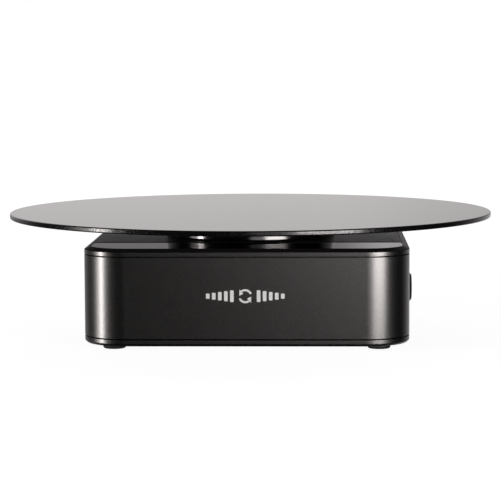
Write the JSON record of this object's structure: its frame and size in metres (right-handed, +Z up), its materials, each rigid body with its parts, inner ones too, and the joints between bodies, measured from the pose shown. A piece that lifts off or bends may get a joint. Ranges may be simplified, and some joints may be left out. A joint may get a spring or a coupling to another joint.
{
  "type": "motorised product turntable",
  "caption": "Motorised photo turntable: thin black glass disc on a round hub over a low rounded-square black aluminium base with rubber feet and a side power button.",
  "frame": {"origin": "on the floor under the disc's axis, at the centre of the base, level with the undersides of the rubber feet", "axes": "+Z up along the disc's axis, -Y towards the front face with the mark, +X towards the side with the power button"},
  "size_m": [0.2, 0.2, 0.0505],
  "materials": {
    "disc_glass": "black glass, polished, with a ground and polished edge",
    "adhesive": "dark bonding film",
    "turned_black": "turned aluminium, glossy black anodised",
    "black_steel": "blackened steel",
    "steel": "ground steel",
    "acetal": "natural white gear plastic",
    "brass": "machined brass",
    "plate_aluminium": "bare milled aluminium",
    "anodised_black": "fine-blasted black anodised aluminium, satin",
    "gloss_black": "mirror-gloss black plastic",
    "satin_black": "satin black coated plate, slightly warm",
    "rubber": "matt moulded rubber",
    "board": "green solder mask",
    "black_plastic": "fine-textured moulded black plastic",
    "battery_wrap": "blue heat-shrink wrap",
    "lead_sleeve": "red silicone-sleeved lead"
  },
  "bodies": {
    "base": {"button_bezel": "turned_black", "drive_motor": "black_steel", "motor_screw_1": "black_steel", "motor_screw_2": "black_steel", "button_switch": "black_steel", "chassis_screw_1": "black_steel", "chassis_screw_2": "black_steel", "chassis_screw_3": "black_steel", "chassis_screw_4": "black_steel", "board_screw_1": "black_steel", "board_screw_2": "black_steel", "top_screw_front_left": "black_steel", "top_screw_front_right": "black_steel", "top_screw_rear_left": "black_steel", "top_screw_rear_right": "black_steel", "bottom_screw_front_left": "black_steel", "bottom_screw_front_right": "black_steel", "bottom_screw_rear_left": "black_steel", "bottom_screw_rear_right": "black_steel", "upper_bearing_outer_ring": "steel", "lower_bearing_outer_ring": "steel", "idler_pin": "steel", "usb_socket": "steel", "tripod_bush": "brass", "chassis_standoff_1": "brass", "chassis_standoff_2": "brass", "chassis_standoff_3": "brass", "chassis_standoff_4": "brass", "chassis_plate": "plate_aluminium", "body_sleeve": "anodised_black", "top_cover": "anodised_black", "bottom_cover": "anodised_black", "front_top_panel": "gloss_black", "rear_top_plate": "satin_black", "foot_front_left": "rubber", "foot_front_right": "rubber", "foot_rear_left": "rubber", "foot_rear_right": "rubber", "circuit_board": "board", "sync_jack": "black_plastic", "port_plate": "black_plastic", "battery_pack": "battery_wrap", "motor_lead": "lead_sleeve", "battery_lead": "lead_sleeve"},
    "rotor": {"glass_disc": "disc_glass", "bond_ring": "adhesive", "turntable_hub": "turned_black", "hub_screw_1": "black_steel", "hub_screw_2": "black_steel", "hub_screw_3": "black_steel", "output_shaft": "steel", "shaft_clip": "black_steel", "upper_bearing_inner_ring": "steel", "lower_bearing_inner_ring": "steel", "output_gear": "acetal"},
    "idler": {"idler_gear": "acetal"},
    "motor_rotor": {"motor_pinion": "brass", "motor_shaft": "steel"},
    "button": {"power_button": "black_plastic"}
  },
  "joints": [
    {"name": "turntable_spin", "type": "hinge", "parent": "base", "child": "rotor", "pos_m": [0, 0, 0.03], "axis": [0, 0, 1], "continuous": true},
    {"name": "idler_spin", "type": "hinge", "parent": "base", "child": "idler", "pos_m": [-0.02819, 0.01026, 0.025], "axis": [0, 0, 1], "continuous": true},
    {"name": "motor_spin", "type": "hinge", "parent": "base", "child": "motor_rotor", "pos_m": [-0.02198, 0.03344, 0.02], "axis": [0, 0, 1], "continuous": true},
    {"name": "power_press", "type": "slide", "parent": "base", "child": "button", "axis": [-1, 0, 0], "range_m": [0, 0.0006], "stiffness_N_per_m": 900, "springref_m": -0.0004}
  ],
  "couplings": [
    {"joint": "idler_spin", "follows": "turntable_spin", "ratio": -4},
    {"joint": "motor_spin", "follows": "turntable_spin", "ratio": 12}
  ]
}
